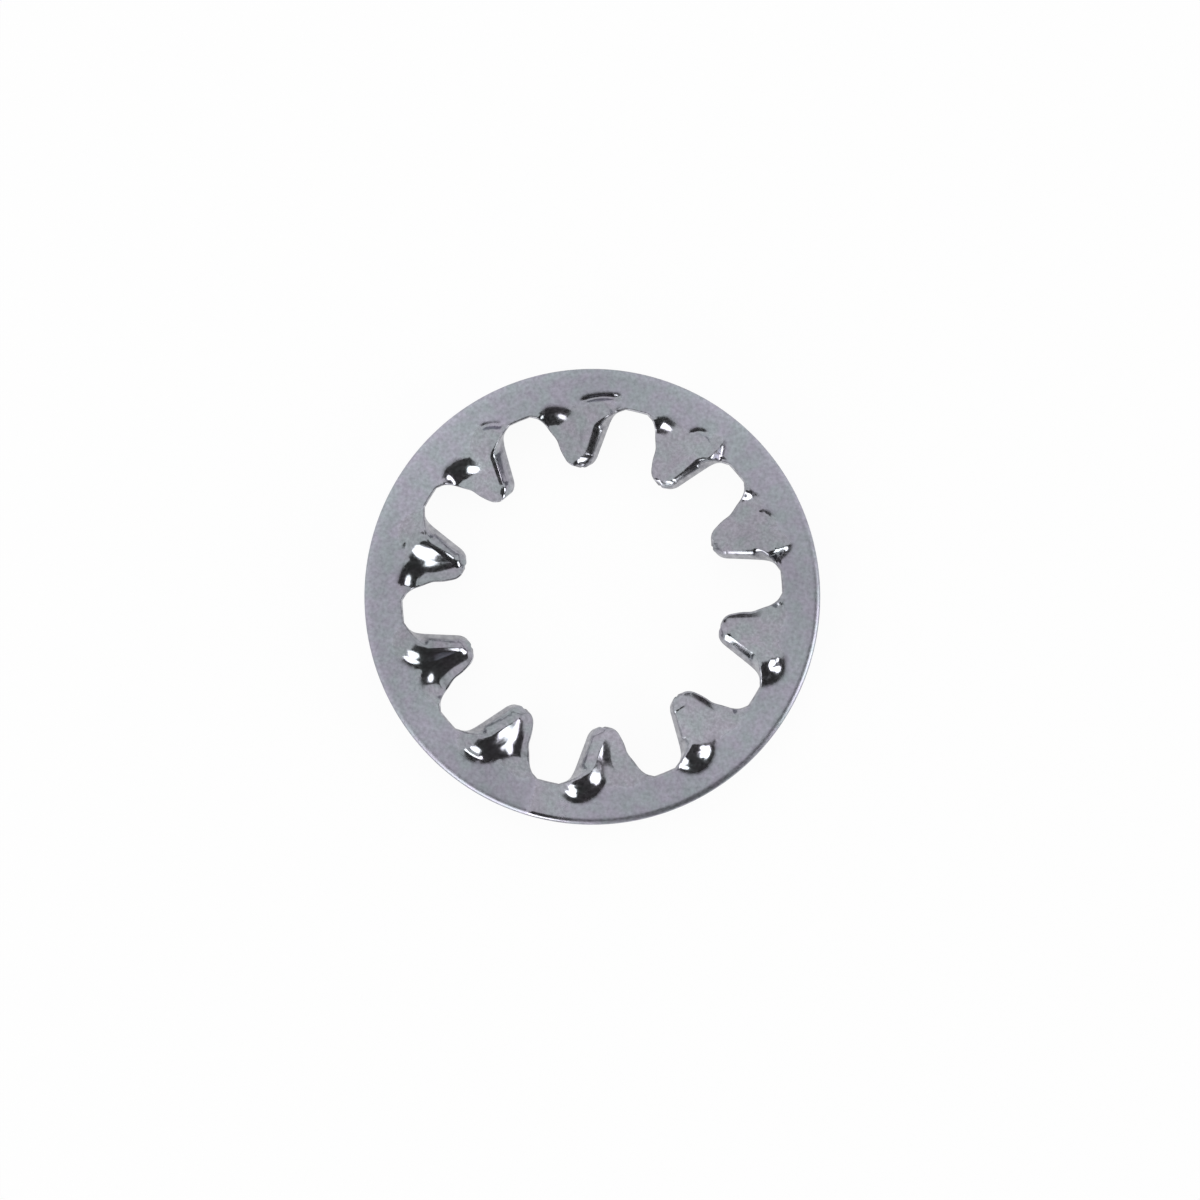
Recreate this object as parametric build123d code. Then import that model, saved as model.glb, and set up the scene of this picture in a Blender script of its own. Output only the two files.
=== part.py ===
from build123d import *
import math
import os

# Toothed lock washer with internal teeth, for an M10 screw: one piece, stamped from sheet and twisted.
# The origin is the centre of the washer, halfway through its sheet, and +Z is its axis.
# The middle of the first tooth is on +X. All lengths are in millimetres.

# ---- the washer ----
OUTER_DIAMETER = 18.0
HOLE_DIAMETER = 10.4        # across the tips of opposite teeth
GULLET_DIAMETER = 15.0      # the inner edge of the ring, between the teeth
SHEET = 0.9                 # thickness of the sheet
TOOTH_COUNT = 10
ROLL_REACH = 0.26           # the outer edges roll over, as blanking leaves them:
ROLL_DROP = 0.13            # over this width of the ring, and down by this much

# ---- the outline of a tooth, seen from above ----
FLANK_ANGLE = 24.8          # degrees between each flank and the tooth's middle line
TIP_HALF_WIDTH = 0.51       # half the width that the flanks would have at the tip
TIP_ROUNDING = 0.4          # radius of the tip's two corners
FLARE_LENGTH = 0.4          # the flanks curve out into the ring over this length
FLARE_WIDTH = 0.3           # and by this much

# ---- the twist: a low land on one side, a sharp ridge on the other, a sloping face between them ----
RIDGE_INSET = 0.6           # from the flank to the ridge, where the cut edge of the sheet shows
FOLD_OFFSET_ROOT = 0.46     # from the middle line to the fold between land and sloping face
FOLD_OFFSET_TIP = 0.2
RIDGE_HEIGHT_ROOT = 0.98    # the ridge over the middle of the sheet
RIDGE_HEIGHT_TIP = 0.5
LAND_HEIGHT_ROOT = 0.1      # the land over the middle of the sheet
LAND_HEIGHT_TIP = 0.3
LAND_FALL = 0.08            # the land falls this much towards its flank

# ---- where the twist grows out of the flat ring, as distances from the washer's axis ----
RIDGE_START, RIDGE_FULL = 8.0, 7.3
LAND_START, LAND_FULL = 7.6, 6.8
BURIED = 8.25               # the tooth's body begins inside the ring
BURIED_DEPTH = 0.06         # and stays this far below the ring's faces there

TIP_RADIUS = HOLE_DIAMETER / 2
GULLET_RADIUS = GULLET_DIAMETER / 2
SECTION_COUNT = 11          # sections that the tooth's body is lofted through
TRIM_CLEARANCE = 0.03       # the tip's cutter clears the flanks by this much


def share(value, start, end):
    """How far value has come from start to end: 0 before, 1 past it."""
    return min(max((value - start) / (end - start), 0.0), 1.0)


def ease(value, start, end):
    """The same, with a smooth S-curve between 0 and 1."""
    part = share(value, start, end)
    return part * part * (3 - 2 * part)


def mix(part, low, high):
    return low + (high - low) * part


def half_width(radius):
    """Half the tooth's width, seen from above, at this distance from the washer's axis."""
    straight = TIP_HALF_WIDTH + (radius - TIP_RADIUS) * math.tan(math.radians(FLANK_ANGLE))
    return straight + FLARE_WIDTH * share(radius, GULLET_RADIUS - FLARE_LENGTH, GULLET_RADIUS) ** 2


def tooth_section(radius):
    """The section across the tooth there: six-sided, and the same after half a turn about the middle line."""
    along_blade = share(radius, TIP_RADIUS, LAND_FULL)
    flush = SHEET / 2 - BURIED_DEPTH
    lifted = mix(along_blade, RIDGE_HEIGHT_TIP, RIDGE_HEIGHT_ROOT)
    sunk = mix(along_blade, LAND_HEIGHT_TIP, LAND_HEIGHT_ROOT)
    ridge_height = mix(ease(radius, RIDGE_START, RIDGE_FULL), flush, lifted)
    land_height = mix(ease(radius, LAND_START, LAND_FULL), flush, sunk)
    half = half_width(radius)
    upper = [
        (-half, land_height - LAND_FALL * ease(radius, LAND_START, LAND_FULL)),
        (-mix(along_blade, FOLD_OFFSET_TIP, FOLD_OFFSET_ROOT), land_height),
        (half - RIDGE_INSET, ridge_height),
    ]
    lower = [(-across, -height) for across, height in upper]
    # across points along -Y, so the ridge is on the tooth's clockwise side, seen from above
    plane = Plane(origin=(radius, 0, 0), x_dir=(0, -1, 0), z_dir=(-1, 0, 0))
    return plane * Polygon(*upper, *lower, align=None)


def tip_cutter():
    """A tapered block with a rounded end. What lies outside it is cut off the tooth's tip."""
    tip = TIP_HALF_WIDTH + TRIM_CLEARANCE
    root = half_width(BURIED) + TRIM_CLEARANCE
    plan = Polygon((TIP_RADIUS, tip), (TIP_RADIUS, -tip), (BURIED, -root), (BURIED, root), align=None)
    tip_corners = plan.vertices().sort_by(Axis.X)[:2]
    return extrude(fillet(tip_corners, TIP_ROUNDING), OUTER_DIAMETER, both=True)


def twisted_tooth():
    """The tooth on +X, lofted in one smooth run from inside the ring to just past its tip."""
    past_tip = TIP_RADIUS - TRIM_CLEARANCE
    step = (BURIED - past_tip) / (SECTION_COUNT - 1)
    body = loft([tooth_section(BURIED - index * step) for index in range(SECTION_COUNT)])
    return body & tip_cutter()


def flat_ring():
    """The ring between gullets and rim, its two outer edges rolled over."""
    rim, face = OUTER_DIAMETER / 2, SHEET / 2
    upper_roll = TangentArc((rim - ROLL_REACH, face), (rim, face - ROLL_DROP), tangent=(1, 0))
    lower_roll = TangentArc((rim - ROLL_REACH, -face), (rim, ROLL_DROP - face), tangent=(1, 0))
    inner_side = Polyline(upper_roll @ 0, (GULLET_RADIUS, face), (GULLET_RADIUS, -face), lower_roll @ 0)
    outer_side = Line(lower_roll @ 1, upper_roll @ 1)
    profile = make_face([upper_roll, inner_side, lower_roll, outer_side])
    return revolve(Plane.XZ * profile, Axis.Z)


def lock_washer():
    tooth = twisted_tooth()
    teeth = [Rot(0, 0, 360 * index / TOOTH_COUNT) * tooth for index in range(TOOTH_COUNT)]
    return flat_ring().fuse(*teeth)


os.makedirs("parts", exist_ok=True)
export_step(lock_washer(), "parts/lock_washer.step")
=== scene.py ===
import math
import random

import bpy
import numpy as np
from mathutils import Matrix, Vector


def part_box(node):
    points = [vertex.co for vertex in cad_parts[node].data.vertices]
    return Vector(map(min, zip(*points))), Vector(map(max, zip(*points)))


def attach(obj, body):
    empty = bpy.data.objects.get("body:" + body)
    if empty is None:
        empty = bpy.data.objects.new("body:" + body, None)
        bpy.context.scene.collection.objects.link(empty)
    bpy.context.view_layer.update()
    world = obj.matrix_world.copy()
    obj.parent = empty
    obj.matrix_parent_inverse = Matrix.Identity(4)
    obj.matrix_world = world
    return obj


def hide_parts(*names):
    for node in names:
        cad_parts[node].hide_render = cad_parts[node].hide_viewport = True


# Toothed lock washer: one stamped, zinc-plated piece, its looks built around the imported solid.
# The mesh code works in millimetres, and Blender in metres. +Z is the washer's axis.
# Left, right and up on a tooth are as seen from above with its root at the top: right is clockwise
# round the washer, and up is outwards. "across" counts from the tooth's middle line to the right.

MM = 0.001
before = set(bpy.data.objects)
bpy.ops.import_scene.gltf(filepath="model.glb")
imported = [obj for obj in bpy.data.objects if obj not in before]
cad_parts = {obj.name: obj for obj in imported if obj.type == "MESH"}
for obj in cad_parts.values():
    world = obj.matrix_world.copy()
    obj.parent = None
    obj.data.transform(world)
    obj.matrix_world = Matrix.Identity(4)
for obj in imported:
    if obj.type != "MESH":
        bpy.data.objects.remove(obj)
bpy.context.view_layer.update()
low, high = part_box("lock_washer")

# ---- the washer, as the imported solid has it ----
RIM = min(high.x, high.y, -low.x, -low.y) / MM     # a few microns under 9, where its mesh has flats
SHEET_HALF = 0.45                       # half the sheet's thickness
GULLET = 7.5                            # radius of the ring's inner edge
TIP = 5.2                               # radius of the circle through the tooth tips
TEETH = 10
PITCH = 2 * math.pi / TEETH             # the angle from one tooth to the next
ROLL_REACH, ROLL_DROP = 0.26, 0.13      # the outer edges roll over: this wide, and this deep

# ---- the outline of a tooth, seen from above ----
FLANK_ANGLE = 24.8                      # degrees between each flank and the tooth's middle line
TIP_HALF = 0.51                         # half the width that the flanks would have at the tip
TIP_ROUNDING = 0.45                     # the tip's corners round off over this length
LEFT_FLARE, RIGHT_FLARE = 0.62, 0.38    # the flanks curve out into the ring over these lengths
FLARE_WIDTH = 0.30                      # and by this much
WAIST_AT, WAIST_REACH = 6.3, 0.3        # the left flank is drawn in around this radius,
WAIST_DEPTH = 0.08                      # by this much

# ---- a tooth's upper face: a bowl on the left, a dome on the right, a hinge line between them ----
BOWL_SIZE = 0.92                        # from the hinge line to the bowl's middle
BOWL_AT = 6.58                          # radius where the bowl's round end begins
BOWL_WALL_AT, BOWL_WALL_SLOPE = -1.3, 1.4      # a steep wall rises at the bowl's left side
LAND_SLOPE, LAND_LEVEL_AT = 0.05, -0.4  # the land, which is the bowl's flat bottom, tilts a little
LAND_END = 7.0                          # from the tip to this radius its height changes
DOME_SIZE = 1.04                        # from the hinge line to the dome's ridge
DOME_TOP = 0.96                         # the dome's highest level over the middle of the sheet
DROOP_START = 6.8                       # the tooth bends down from here to its tip
NOSE_START, NOSE_CURVE = 5.65, 1.5      # the right side falls away more at the very tip
FACE_BEND, ROOT_BEND = 0.05, 0.2        # rounding where the face leaves the ring's level: tooth, root
BOWL_BEND, CREST_BEND = 0.2, 0.3        # rounding of the bowl's middle, and of the dome's crest
LAND_BEND_TIP, LAND_BEND_ROOT = 0.12, 0.2      # rounding between bowl and land
MARK_WIDTH = 0.12                       # of the grooves that the tool's edge has left
MARK_FADE = 0.2                         # share of a groove's length over which each end fades out

# ---- the cut edge of the sheet ----
EDGE, RIDGE_EDGE = 0.08, 0.14           # rounding of the cut edges, and of the teeth's raised ridges
CUT_WIDTH = 0.61                        # how much of the cut edge shows beyond the ridge, from above
CUT_UPRIGHT_FROM = 6.75                 # from this radius to the gullet it turns upright
CUT_WIDTH_AT_TIP = 0.75                 # share of its width that is left at the tip
FACET_WIDTH = 0.66                      # share of its width that the burnished facet takes,
FACET_BLEND = 0.04                      # and the rounding between that and the broken face below

# ---- the mesh's density ----
TOOTH_COLUMNS = 46
GULLET_COLUMNS = 8
SECTOR = TOOTH_COLUMNS + GULLET_COLUMNS
TOOTH_ROWS = 44
RING_ROWS = 26
ROLL_ROWS = 5
EDGE_STEPS = 3
RIM_LEVELS = 5
WALL_LEVELS = (0.12, 0.25, 0.33, 0.67, 0.75, 0.88)     # shares of the way down the cut edge
CARD_COLUMNS, CARD_ROWS = 49, 17

# ---- the photograph's view ----
PHOTO_WIDTH = 47.4                      # millimetres across the frame
AIM_RIGHT, AIM_DOWN = 0.304, 0.126      # the camera looks at a point this far from the washer's axis
VIEW_TURN = math.radians(13.5)          # the washer is turned clockwise by this in the photograph
CAMERA_HEIGHT = 400.0

# ---- the metal and the studio ----
SATIN = ((0.385, 0.37, 0.442, 1), (0.355, 0.388, 0.418, 1))        # each colour is mottled between two
BRIGHT = ((0.325, 0.312, 0.36, 1), (0.30, 0.325, 0.345, 1))
SHEARED = ((0.27, 0.27, 0.3, 1), (0.4, 0.4, 0.43, 1))
DARKEST, LIGHTEST = 0.82, 1.18          # how much fine grain and broad clouds shade them
SATIN_ROUGH, BRIGHT_ROUGH, SHEARED_ROUGH = 0.4, 0.17, 0.4
BUMP_HEIGHT = 0.0015                    # of the grain and the lumps
CARD = (0.065, 0.062, 0.06, 1)
PAPER = (0.95, 0.95, 0.95, 1)
WHITE = (1, 1, 1, 1)


def share(value, start, end):
    """How far value has come from start to end: 0 before, 1 past it."""
    return np.clip((value - start) / (end - start), 0.0, 1.0)


def ease(value, start, end):
    """The same, with a smooth S-curve between 0 and 1."""
    part = share(value, start, end)
    return part * part * (3 - 2 * part)


def mix(part, first, second):
    return first + (second - first) * part


def upper_of(first, second, blend):
    """The higher of two surfaces, rounded where they are within blend of each other."""
    near = np.maximum(blend - np.abs(first - second), 0.0) / blend
    return np.maximum(first, second) + 0.25 * blend * near ** 2


def lower_of(first, second, blend):
    """The lower of two surfaces, rounded in the same way."""
    return -upper_of(-first, -second, blend)


def slope(degrees):
    """How far a face at this angle rises for each millimetre across."""
    return math.tan(math.radians(degrees))


def flank(radius, flare_length):
    """How far a tooth reaches to one side of its middle line."""
    straight = TIP_HALF + (radius - TIP) * slope(FLANK_ANGLE)
    rounding = np.sqrt(1 - (1 - share(radius, TIP, TIP + TIP_ROUNDING)) ** 4)
    into_ring = share(radius, GULLET - flare_length, GULLET)
    return straight * rounding + FLARE_WIDTH * (1 - np.sqrt(1 - into_ring ** 2))


def right_flank(radius):
    return flank(radius, RIGHT_FLARE)


def left_flank(radius):
    waist = WAIST_DEPTH * np.exp(-((radius - WAIST_AT) / WAIST_REACH) ** 2)
    return flank(radius, LEFT_FLARE) - waist


def cut_edge_width(radius):
    """How much of the sheet's cut edge shows beyond the ridge, seen from above."""
    leaning = 1 - ease(radius, CUT_UPRIGHT_FROM, GULLET)
    return CUT_WIDTH * leaning * mix(share(radius, TIP, 5.7), CUT_WIDTH_AT_TIP, 1.0)


class Twist:
    """How one tooth is twisted. The differences are what sets it apart from the others."""

    def __init__(self, draw, differences):
        self.shift = 0.02 * draw()              # how far the hinge line lies to the right
        self.droop = 0.2                        # how sharply the tip bends down
        self.land_root = 0.1 + 0.02 * draw()    # the land's height over the middle of the sheet, at the
        self.land_tip = 0.24 + 0.02 * draw()    # root and at the tip
        self.bowl_lean = 36.0 + draw()          # how steep the bowl's face is, in degrees
        self.dome_lean = 40.0 + draw()          # and the dome's
        self.dome_at = 6.92                     # radius where the dome's round end begins
        self.dome_end = 1.3                     # how much steeper the dome is past its ridge
        self.facet = 0.29                       # share of the way down the cut edge where its facet ends
        self.mark = None                        # a groove that the tool's edge has left
        vars(self).update(differences)


# Clockwise from the tooth on +X. A mark is an arc: its centre across and up the tooth, its radius, the
# angles where it starts and ends, in degrees anticlockwise from the right, and the groove's depth.
DIFFERENCES = [
    {"droop": -0.3, "facet": 0.4, "mark": (0.3, 7.0, 0.85, 30, 65, 0.04)},
    {"droop": -0.26, "land_tip": 0.08, "facet": 0.2, "mark": (0.2, 6.9, 0.75, 10, 60, 0.04)},
    {"shift": 0.12, "land_root": 0.28, "land_tip": 0.36, "droop": 0.12},
    {"shift": -0.14, "land_tip": 0.34, "droop": 0.3, "mark": (0.6, 5.0, 2.8, 78, 96, 0.04)},
    {"dome_lean": 43.0, "land_tip": 0.34, "droop": 0.25},
    {"shift": -0.12, "land_tip": 0.5, "droop": 0.1, "mark": (0.16, 6.96, 0.65, -20, 115, 0.05)},
    {"land_root": 0.0, "land_tip": 0.4, "droop": -0.15, "facet": 0.52,
     "mark": (0.8, 6.95, 0.98, 25, 85, 0.12)},
    {"droop": 0.08, "dome_at": 6.68, "dome_end": 2.0, "facet": 0.13,
     "mark": (0.95, 4.7, 3.12, 73, 106, 0.12)},
    {"droop": 0.1, "dome_end": 2.6, "facet": 0.15, "mark": (0.47, 7.3, 0.52, 15, 170, 0.09)},
    {"droop": 0.15, "dome_end": 2.6, "facet": 0.15, "mark": (-0.04, 7.22, 0.5, 35, 180, 0.075)},
]


def tool_mark(across, upright, centre, up, size, start, end, depth):
    """Depth of a groove along an arc. It fades out towards its ends."""
    angle = np.degrees(np.arctan2(upright - up, across - centre))
    fade = MARK_FADE * (end - start)
    along = ease(angle, start, start + fade) * (1 - ease(angle, end - fade, end))
    from_arc = np.hypot(across - centre, upright - up) - size
    return depth * along * np.exp(-(from_arc / MARK_WIDTH) ** 2)


def bowl_height(across, upright, twist):
    """The face that falls to the left from the hinge line, as height over the ring's face."""
    sideways = upper_of(across + BOWL_SIZE, 0.0, BOWL_BEND)
    reach = np.hypot(sideways, np.maximum(upright - BOWL_AT, 0.0))
    falling = slope(twist.bowl_lean) * (reach - BOWL_SIZE)
    return falling + BOWL_WALL_SLOPE * upper_of(BOWL_WALL_AT - across, 0.0, BOWL_BEND)


def dome_height(across, upright, twist):
    """The face that rises to the right from the hinge line, and falls again past the ridge."""
    beyond = across - DOME_SIZE
    sideways = np.where(across < DOME_SIZE, -beyond, twist.dome_end * beyond)
    reach = np.hypot(sideways, np.maximum(upright - twist.dome_at, 0.0))
    rising = slope(twist.dome_lean) * (DOME_SIZE - reach)
    return lower_of(rising, DOME_TOP - SHEET_HALF, CREST_BEND)


def raised_face(across, radius, twist):
    """Height of the tooth's upper face over the middle of the sheet."""
    upright = np.sqrt(np.maximum(radius ** 2 - across ** 2, 0.0))
    groove = tool_mark(across, upright, *twist.mark) if twist.mark else 0.0
    across = across - twist.shift * ease(radius, 5.5, 6.5)
    along = share(radius, TIP, LAND_END)
    land = mix(along, twist.land_tip, twist.land_root) + LAND_SLOPE * (across - LAND_LEVEL_AT)
    land_bend = mix(along, LAND_BEND_TIP, LAND_BEND_ROOT)
    bend = mix(ease(radius, 6.7, 7.2), FACE_BEND, ROOT_BEND)
    sunk = lower_of(bowl_height(across, upright, twist), 0.0, bend)
    raised = upper_of(dome_height(across, upright, twist), 0.0, bend)
    nose = NOSE_CURVE * np.maximum(NOSE_START - radius, 0.0) ** 2 * ease(across, -0.4, 0.1)
    return upper_of(SHEET_HALF + sunk + raised, land, land_bend) - groove - nose


def face_height(across, upright, twist, upper):
    """Height of either face. The lower is the upper after half a turn about the tooth's middle line.

    Then both droop at the tip.
    """
    radius = np.hypot(across, upright)
    droop = 0.5 * twist.droop * np.maximum(DROOP_START - radius, 0.0) ** 2
    if upper:
        return raised_face(across, radius, twist) - droop
    return -raised_face(-across, radius, twist) - droop


def side_limits(radius, upper):
    """Where the sheet's upper or lower face ends, left and right of the tooth's middle line."""
    hidden = cut_edge_width(radius)
    left, right = left_flank(radius), right_flank(radius)
    if upper:
        return -left, right - hidden
    return -left + hidden, right


def tooth_plan(upper):
    """Where the points of a tooth's face are: rows from tip to ring, columns from left to right.

    Also how far in from the cut edge the left and right columns keep, for the edge's rounding.
    """
    # the rows are closer together at both ends, and the last one stops just short of the ring
    part = np.linspace(0, 1, TOOTH_ROWS)
    part = mix(0.6, part, 0.5 - 0.5 * np.cos(math.pi * part))
    radius = TIP + EDGE + (GULLET - 0.04 - TIP - EDGE) * part
    left, right = side_limits(radius, upper)
    # only the ridge has the larger rounding, and no rounding takes more than a fifth of the width
    ridge = mix(ease(radius, 5.25, 5.5) * (1 - ease(radius, 6.7, 7.1)), EDGE, RIDGE_EDGE)
    insets = (EDGE, ridge) if upper else (ridge, EDGE)
    left_inset, right_inset = [np.minimum(inset, 0.2 * (right - left)) for inset in insets]
    columns = np.linspace(0, 1, TOOTH_COLUMNS + 1)
    across = mix(columns[None, :], (left + left_inset)[:, None], (right - right_inset)[:, None])
    radius = np.repeat(radius[:, None], TOOTH_COLUMNS + 1, 1)
    # the rows are straight at the tip, and follow the ring's circles at the root
    roundness = ease(radius, 6.5, GULLET)
    upright = radius - roundness * (radius - np.sqrt(radius ** 2 - across ** 2))
    return across, upright, left_inset, right_inset


def ring_plan():
    """One tooth's share of the ring: rows from gullet to rim, and how far each point rolls over."""
    root_angle = math.asin(float(right_flank(np.array(GULLET))) / GULLET)
    tooth = np.linspace(-root_angle, root_angle, TOOTH_COLUMNS + 1)
    gullet = np.linspace(root_angle, PITCH - root_angle, GULLET_COLUMNS + 1)[1:-1]
    angle = np.concatenate([tooth, gullet])
    roll_radius = (ROLL_REACH ** 2 + ROLL_DROP ** 2) / (2 * ROLL_DROP)
    turn = np.linspace(0, math.asin(ROLL_REACH / roll_radius), ROLL_ROWS + 1)[1:]
    flat = GULLET + EDGE + (RIM - ROLL_REACH - GULLET - EDGE) * np.linspace(0, 1, RING_ROWS) ** 1.3
    radius = np.concatenate([flat, RIM - ROLL_REACH + roll_radius * np.sin(turn)])
    drop = np.concatenate([np.zeros(RING_ROWS), roll_radius * (1 - np.cos(turn))])
    across = radius[:, None] * np.sin(angle)[None, :]
    upright = radius[:, None] * np.cos(angle)[None, :]
    return across, upright, np.repeat(drop[:, None], len(angle), 1)


def placed(across, upright, height, tooth):
    """Points on a tooth, in the washer's own axes. Teeth are counted clockwise from +X."""
    angle = -PITCH * tooth
    x = upright * math.cos(angle) + across * math.sin(angle)
    y = upright * math.sin(angle) - across * math.cos(angle)
    return np.stack([x, y, height], -1)


class Shell:
    """Collects the washer's points and faces, and how cut and how burnished each point is."""

    def __init__(self):
        self.points, self.cut, self.burnish, self.faces = [], [], [], []
        self.count = 0

    def add(self, points, cut=0.0, burnish=0.0):
        """Takes a grid or row of points, and returns their numbers in the same layout."""
        index = self.count + np.arange(points[..., 0].size).reshape(points.shape[:-1])
        self.points.append(points.reshape(-1, 3))
        self.cut.append(np.broadcast_to(cut, index.shape).ravel())
        self.burnish.append(np.broadcast_to(burnish, index.shape).ravel())
        self.count += index.size
        return index

    def skin(self, index, flipped, closed=False):
        """Quads over a grid of points, closed on itself across its columns where asked."""
        if closed:
            index = np.concatenate([index, index[:, :1]], 1)
        a, b, c, d = index[:-1, :-1], index[:-1, 1:], index[1:, 1:], index[1:, :-1]
        corners = [a, b, c, d] if flipped else [a, d, c, b]
        self.faces.append(np.stack(corners, -1).reshape(-1, 4))


def burnished(radius, height):
    """The tool polishes the metal that it bends out of the sheet's own face, and what is beside it."""
    bent = ease(np.abs(np.abs(height) - SHEET_HALF), 0.002, 0.04)
    near_gullet = 1 - ease(radius, 7.3, 7.8)
    return np.maximum(bent, near_gullet)


def build_face(shell, twists, upper):
    """One side of the sheet. Returns its inner outline, the rounding's size along it, and its rim."""
    tooth_across, tooth_upright, left_inset, right_inset = tooth_plan(upper)
    ring_across, ring_upright, drop = ring_plan()
    drop = drop if upper else -drop
    ring_parts, ring_burnish, outline = [], [], []
    for tooth, twist in enumerate(twists):
        height = face_height(ring_across, ring_upright, twist, upper)
        ring_parts.append(placed(ring_across, ring_upright, height - drop, tooth))
        ring_burnish.append(burnished(np.hypot(ring_across, ring_upright), height))
    ring = shell.add(np.concatenate(ring_parts, 1), burnish=np.concatenate(ring_burnish, 1))
    shell.skin(ring, flipped=upper, closed=True)
    for tooth, twist in enumerate(twists):
        height = face_height(tooth_across, tooth_upright, twist, upper)
        blade = shell.add(placed(tooth_across, tooth_upright, height, tooth), burnish=1.0)
        start = tooth * SECTOR
        root = ring[:1, start:start + TOOTH_COLUMNS + 1]
        shell.skin(np.concatenate([blade, root], 0), flipped=upper)
        outline.append(np.concatenate([
            ring[0, start:start + 1], blade[::-1, 0], blade[0, 1:-1], blade[:, -1],
            ring[0, start + TOOTH_COLUMNS:start + SECTOR]]))
    sizes = np.concatenate([
        [EDGE], left_inset[::-1], np.full(TOOTH_COLUMNS - 1, EDGE), right_inset,
        np.full(GULLET_COLUMNS, EDGE)])
    return np.concatenate(outline), np.tile(sizes, TEETH)[:, None], ring[-1]


def sharp_edge(points, sizes, twists, upper):
    """Where a face would end if its edge were sharp, and which way is out."""
    before, after = np.roll(points, 1, 0), np.roll(points, -1, 0)
    along = (after - before)[:, :2]
    along /= np.linalg.norm(along, axis=1, keepdims=True)
    outward = np.stack([along[:, 1], -along[:, 0]], 1)
    corner = points.copy()
    corner[:, :2] += sizes * outward
    per_tooth = len(points) // TEETH
    for tooth, twist in enumerate(twists):
        rows = slice(tooth * per_tooth, (tooth + 1) * per_tooth)
        angle = -PITCH * tooth
        x, y = corner[rows, 0], corner[rows, 1]
        upright = x * math.cos(angle) + y * math.sin(angle)
        across = x * math.sin(angle) - y * math.cos(angle)
        corner[rows, 2] = face_height(across, upright, twist, upper)
    return corner, outward


def build_wall(shell, upper_loop, upper_sizes, lower_loop, lower_sizes, twists):
    """The cut edge of the sheet, around gullets and teeth, with its two rounded edges."""
    points = np.concatenate(shell.points)
    top, bottom = points[upper_loop], points[lower_loop]
    top_corner, outward = sharp_edge(top, upper_sizes, twists, True)
    bottom_corner, _ = sharp_edge(bottom, lower_sizes, twists, False)
    down = bottom_corner - top_corner
    lean = (down[:, :2] * outward).sum(1)
    down /= np.linalg.norm(down, axis=1, keepdims=True)
    upper_rows, lower_rows = [], []
    for step in range(1, EDGE_STEPS + 1):
        turn = 0.5 * math.pi * step / EDGE_STEPS
        sunk = (1 - math.cos(turn)) * down
        upper_rows.append(mix(math.sin(turn), top, top_corner) + upper_sizes * sunk)
        lower_rows.append(mix(math.sin(turn), bottom, bottom_corner) - lower_sizes * sunk)
    between = [mix(level, upper_rows[-1], lower_rows[-1]) for level in WALL_LEVELS]
    rows = np.stack(upper_rows + between + lower_rows[::-1])
    # where the cut edge leans, it falls from the ridge in a facet first, and then more steeply
    sunk = share(rows[..., 2], top_corner[:, 2], bottom_corner[:, 2])
    sunk = np.where(lean > 0, sunk, 1 - sunk)
    drop = np.repeat([twist.facet for twist in twists], len(lean) // TEETH)
    steep = FACET_WIDTH + (sunk - drop) * (1 - FACET_WIDTH) / (1 - drop)
    reach = lower_of(sunk * FACET_WIDTH / drop, steep, FACET_BLEND)
    rows[..., :2] += ((reach - sunk) * np.abs(lean))[..., None] * outward
    # the facet is burnished, and there is none where the cut edge stands upright
    facet = (1 - ease(sunk, drop - 0.05, drop + 0.02)) * share(np.abs(lean), 0.05, 0.2)
    wall = shell.add(rows, cut=1 - facet, burnish=facet)
    grid = np.concatenate([upper_loop[None, :], wall, lower_loop[None, :]])
    shell.skin(grid, flipped=False, closed=True)


def build_rim(shell, upper_rim, lower_rim):
    """The upright outer edge, between the two rolled ones."""
    points = np.concatenate(shell.points)
    levels = [mix(level / (RIM_LEVELS + 1), points[upper_rim], points[lower_rim])
              for level in range(1, RIM_LEVELS + 1)]
    wall = shell.add(np.stack(levels), cut=1.0)
    grid = np.concatenate([upper_rim[None, :], wall, lower_rim[None, :]])
    shell.skin(grid, flipped=True, closed=True)


def build_washer():
    """The whole washer as one closed mesh."""
    dice = random.Random(7)
    twists = [Twist(lambda: dice.uniform(-1, 1), differences) for differences in DIFFERENCES]
    shell = Shell()
    upper_loop, upper_sizes, upper_rim = build_face(shell, twists, True)
    lower_loop, lower_sizes, lower_rim = build_face(shell, twists, False)
    build_wall(shell, upper_loop, upper_sizes, lower_loop, lower_sizes, twists)
    build_rim(shell, upper_rim, lower_rim)
    points = np.concatenate(shell.points) * MM
    mesh = bpy.data.meshes.new("zinc_washer")
    mesh.from_pydata(points.tolist(), [], np.concatenate(shell.faces).tolist())
    for name, values in (("cut", shell.cut), ("burnish", shell.burnish)):
        attribute = mesh.attributes.new(name, "FLOAT", "POINT")
        attribute.data.foreach_set("value", np.concatenate(values).astype(np.float32))
    mesh.shade_smooth()
    mesh.validate()
    washer = bpy.data.objects.new("zinc_washer", mesh)
    bpy.context.scene.collection.objects.link(washer)
    return washer


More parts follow.
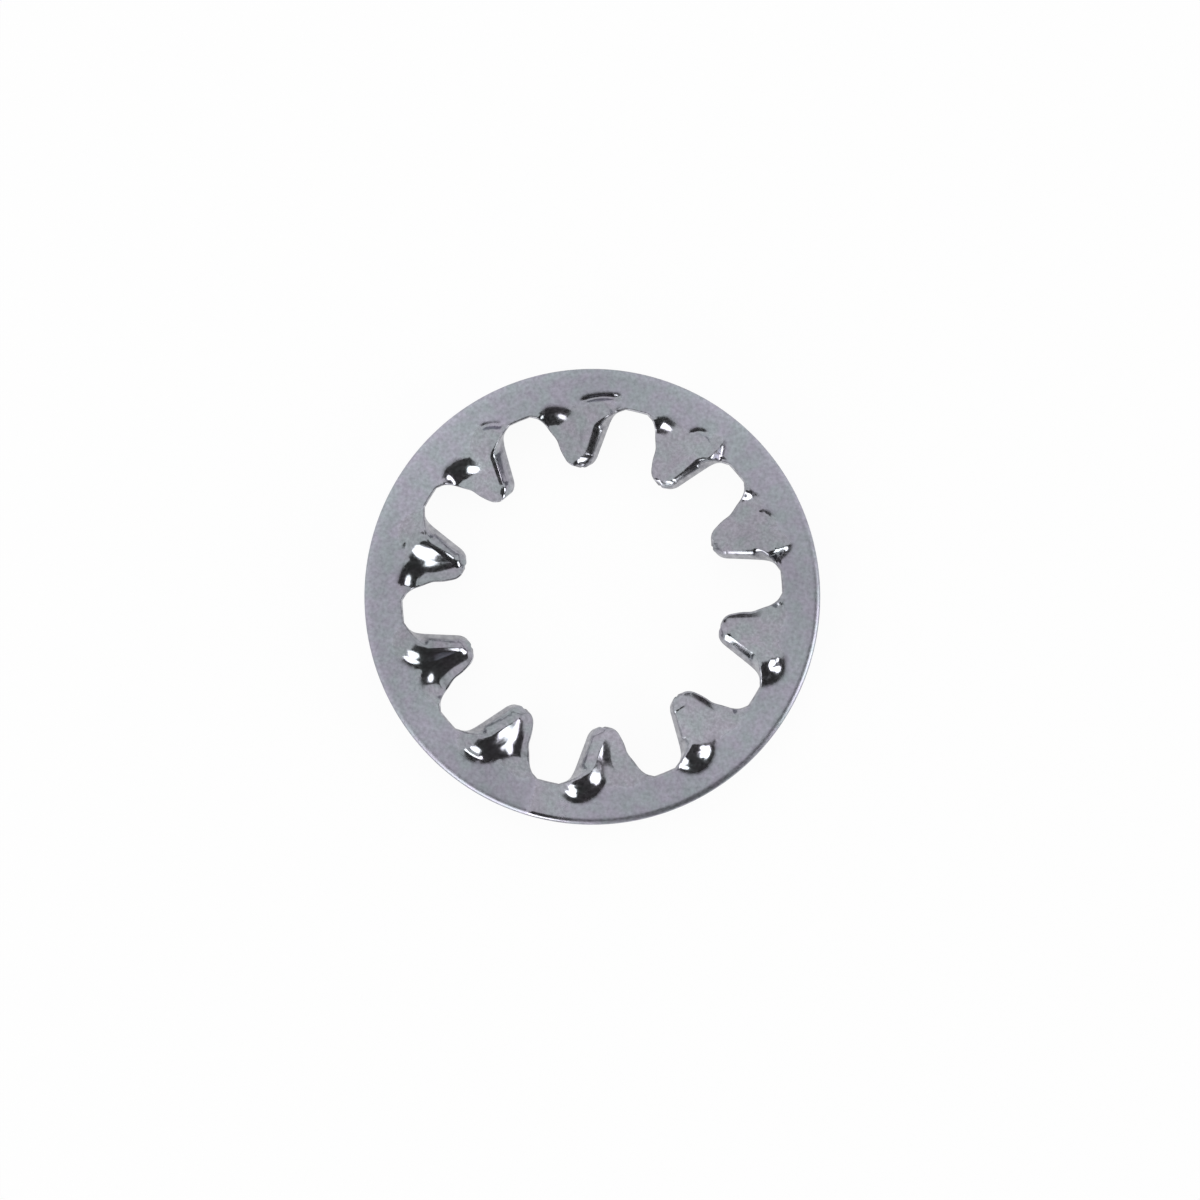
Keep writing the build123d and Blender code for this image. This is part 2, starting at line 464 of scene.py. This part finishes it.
class Tree:
    """A short way to write a material's nodes. A Mix node is reached by its sockets' numbers."""

    def __init__(self, name):
        self.material = bpy.data.materials.new(name)
        self.material.use_nodes = True
        self.nodes = self.material.node_tree.nodes
        self.links = self.material.node_tree.links
        self.shader = self.nodes["Principled BSDF"]

    def add(self, kind, inputs=(), **settings):
        """A node with these settings, and a value or another node's output on each named input."""
        made = self.nodes.new("ShaderNode" + kind)
        for name, value in settings.items():
            setattr(made, name, value)
        for name, value in dict(inputs).items():
            self.put(made.inputs[name], value)
        return made

    def put(self, socket, value):
        """Sets a socket to a value, or links another node's output to it."""
        if isinstance(value, bpy.types.NodeSocket):
            self.links.new(value, socket)
        else:
            socket.default_value = value

    def math(self, operation, first, second=0.0):
        return self.add("Math", {0: first, 1: second}, operation=operation).outputs[0]

    def noise(self, place, size_mm, detail=2.0, roughness=0.5):
        """Noise from 0 to 1, with patches of about this size."""
        scale = 0.5 / (size_mm * MM)
        inputs = {"Vector": place, "Scale": scale, "Detail": detail, "Roughness": roughness}
        return self.add("TexNoise", inputs, noise_dimensions="3D").outputs["Fac"]

    def remap(self, value, start, end, low_value, high_value):
        """Stretches the range from start to end to the one from low_value to high_value."""
        inputs = {"Value": value, "From Min": start, "From Max": end,
                  "To Min": low_value, "To Max": high_value}
        return self.add("MapRange", inputs).outputs["Result"]

    def blend(self, factor, first, second, mode="MIX"):
        """Mixes two colours."""
        mixed = self.add("Mix", data_type="RGBA", blend_type=mode)
        sockets = (mixed.inputs[0], mixed.inputs[6], mixed.inputs[7])
        for socket, value in zip(sockets, (factor, first, second)):
            self.put(socket, value)
        return mixed.outputs[2]

    def steer(self, factor, first, second):
        """Mixes two numbers."""
        mixed = self.add("Mix", data_type="FLOAT")
        sockets = (mixed.inputs[0], mixed.inputs[2], mixed.inputs[3])
        for socket, value in zip(sockets, (factor, first, second)):
            self.put(socket, value)
        return mixed.outputs[0]


def zinc_material():
    """Zinc over steel: satin on the ring, burnished where the teeth are bent, dull on cut edges."""
    tree = Tree("zinc_plated_steel")
    place = tree.add("TexCoord").outputs["Object"]
    cut = tree.add("Attribute", attribute_name="cut").outputs["Fac"]
    burnish = tree.add("Attribute", attribute_name="burnish").outputs["Fac"]
    # patches that run down the cut edge, the way the punch went
    streaked = tree.add("Mapping", {"Vector": place, "Scale": (1.0, 1.0, 0.15)}).outputs["Vector"]

    grain = tree.noise(place, size_mm=0.07, roughness=0.6)
    mottle = tree.noise(place, size_mm=0.35)
    cloud = tree.noise(place, size_mm=4.0, detail=4.0)
    lumps = tree.noise(place, size_mm=0.4, detail=1.0)
    shear = tree.noise(streaked, size_mm=0.1)

    tint = tree.remap(mottle, 0.35, 0.65, 0.0, 1.0)
    satin = tree.blend(tint, *SATIN)
    bright = tree.blend(tint, *BRIGHT)
    colour = tree.blend(burnish, satin, bright)
    sheared = tree.blend(tree.remap(shear, 0.35, 0.65, 0.0, 1.0), *SHEARED)
    colour = tree.blend(cut, colour, sheared)
    fine_shade = tree.remap(grain, 0.3, 0.7, DARKEST, LIGHTEST)
    broad_shade = tree.remap(cloud, 0.3, 0.7, DARKEST, LIGHTEST)
    shade = tree.math("MULTIPLY", fine_shade, broad_shade)
    grey = tree.add("CombineColor", {"Red": shade, "Green": shade, "Blue": shade}).outputs["Color"]
    colour = tree.blend(1.0, colour, grey, mode="MULTIPLY")

    rough = tree.steer(burnish, SATIN_ROUGH, BRIGHT_ROUGH)
    rough = tree.steer(cut, rough, SHEARED_ROUGH)
    rough = tree.math("ADD", rough, tree.remap(grain, 0.3, 0.7, -0.04, 0.04))

    # burnishing flattens the grain and leaves broad lumps, and shearing leaves deep streaks
    height = tree.math("MULTIPLY", grain, tree.steer(burnish, 1.0, 0.25))
    height = tree.math("ADD", height, tree.math("MULTIPLY", lumps, tree.steer(burnish, 1.0, 3.0)))
    height = tree.math("ADD", height, tree.math("MULTIPLY", shear, tree.math("MULTIPLY", cut, 4.0)))
    bump = tree.add("Bump", {"Strength": 1.0, "Distance": BUMP_HEIGHT * MM, "Height": height})

    tree.put(tree.shader.inputs["Metallic"], 1.0)
    tree.put(tree.shader.inputs["Base Color"], colour)
    tree.put(tree.shader.inputs["Roughness"], rough)
    tree.put(tree.shader.inputs["Normal"], bump.outputs["Normal"])
    return tree.material


def card_material():
    tree = Tree("dark_card")
    tree.put(tree.shader.inputs["Base Color"], CARD)
    tree.put(tree.shader.inputs["Roughness"], 0.9)
    return tree.material


def floor_material():
    """White paper. What the camera and the metal see of it is mostly even white, with a faint shadow."""
    tree = Tree("floor_white")
    tree.put(tree.shader.inputs["Base Color"], PAPER)
    tree.put(tree.shader.inputs["Roughness"], 0.9)
    path = tree.add("LightPath").outputs
    seen = tree.math("MAXIMUM", path["Is Camera Ray"], path["Is Glossy Ray"])
    seen = tree.math("MAXIMUM", seen, path["Is Transmission Ray"])
    even = tree.math("MULTIPLY", seen, 0.94)
    glow = tree.add("Emission", {"Color": WHITE, "Strength": 1.0}).outputs[0]
    both = tree.add("MixShader", {0: even, 1: tree.shader.outputs[0], 2: glow})
    tree.put(tree.nodes["Material Output"].inputs["Surface"], both.outputs[0])
    return tree.material


def build_floor():
    bpy.ops.mesh.primitive_plane_add(size=4.0, location=(0, 0, low.z))
    floor = bpy.context.object
    floor.name = "floor"
    floor.data.materials.append(floor_material())


def build_world():
    world = bpy.data.worlds.new("white_studio")
    bpy.context.scene.world = world
    world.use_nodes = True
    world.node_tree.nodes["Background"].inputs["Color"].default_value = WHITE


def direction(azimuth, tilt):
    """Unit vector at an azimuth in the photograph (0 is right, 90 up), tilted from straight up."""
    turned = math.radians(azimuth) + VIEW_TURN
    lean = math.radians(tilt)
    return Vector((math.sin(lean) * math.cos(turned), math.sin(lean) * math.sin(turned), math.cos(lean)))


def build_lamp(name, azimuth, tilt, width, height, brightness, distance=0.22):
    """An oval lamp of this width and height in degrees, and of this brightness, where 1 is white."""
    light = bpy.data.lights.new(name, "AREA")
    light.shape = "ELLIPSE"
    light.size = 2 * distance * slope(width / 2)
    light.size_y = 2 * distance * slope(height / 2)
    # a lamp's power is pi times its brightness times its area
    light.energy = brightness * math.pi * math.pi * light.size * light.size_y / 4
    lamp = bpy.data.objects.new(name, light)
    bpy.context.scene.collection.objects.link(lamp)
    place = direction(azimuth, tilt)
    lamp.location = place * distance
    lamp.rotation_euler = place.to_track_quat("Z", "Y").to_euler()


def build_dark_card(name, azimuth_from, azimuth_to, tilt_from, tilt_to, distance=0.25):
    """A curved dark card, which the metal mirrors and the camera doesn't see."""
    azimuths = np.linspace(azimuth_from, azimuth_to, CARD_COLUMNS)
    tilts = np.linspace(tilt_from, tilt_to, CARD_ROWS)
    points = [direction(azimuth, tilt) * distance for tilt in tilts for azimuth in azimuths]
    starts = [row * CARD_COLUMNS + column
              for row in range(CARD_ROWS - 1) for column in range(CARD_COLUMNS - 1)]
    faces = [(i, i + 1, i + CARD_COLUMNS + 1, i + CARD_COLUMNS) for i in starts]
    mesh = bpy.data.meshes.new(name)
    mesh.from_pydata(points, [], faces)
    card = bpy.data.objects.new(name, mesh)
    bpy.context.scene.collection.objects.link(card)
    card.data.materials.append(card_material())
    card.visible_camera = False


def build_camera():
    camera = bpy.data.cameras.new("camera")
    holder = bpy.data.objects.new("camera", camera)
    bpy.context.scene.collection.objects.link(holder)
    camera.angle = 2 * math.atan(PHOTO_WIDTH / 2 / CAMERA_HEIGHT)
    right = Vector((math.cos(VIEW_TURN), math.sin(VIEW_TURN), 0))
    up = Vector((-math.sin(VIEW_TURN), math.cos(VIEW_TURN), 0))
    aim = right * AIM_RIGHT - up * AIM_DOWN
    holder.location = (aim + Vector((0, 0, CAMERA_HEIGHT))) * MM
    holder.rotation_euler = (0, 0, VIEW_TURN)
    bpy.context.scene.camera = holder


washer = build_washer()
washer.data.materials.append(zinc_material())
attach(washer, "root")
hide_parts("lock_washer")
build_floor()
build_world()
build_lamp("lamp_south", azimuth=-115, tilt=72, width=38, height=28, brightness=5)
build_lamp("lamp_east", azimuth=-15, tilt=72, width=32, height=28, brightness=5)
build_dark_card("dark_card", azimuth_from=-132, azimuth_to=10, tilt_from=18, tilt_to=89)
build_camera()
bpy.context.scene.view_settings.view_transform = "Standard"
bpy.context.view_layer.update()
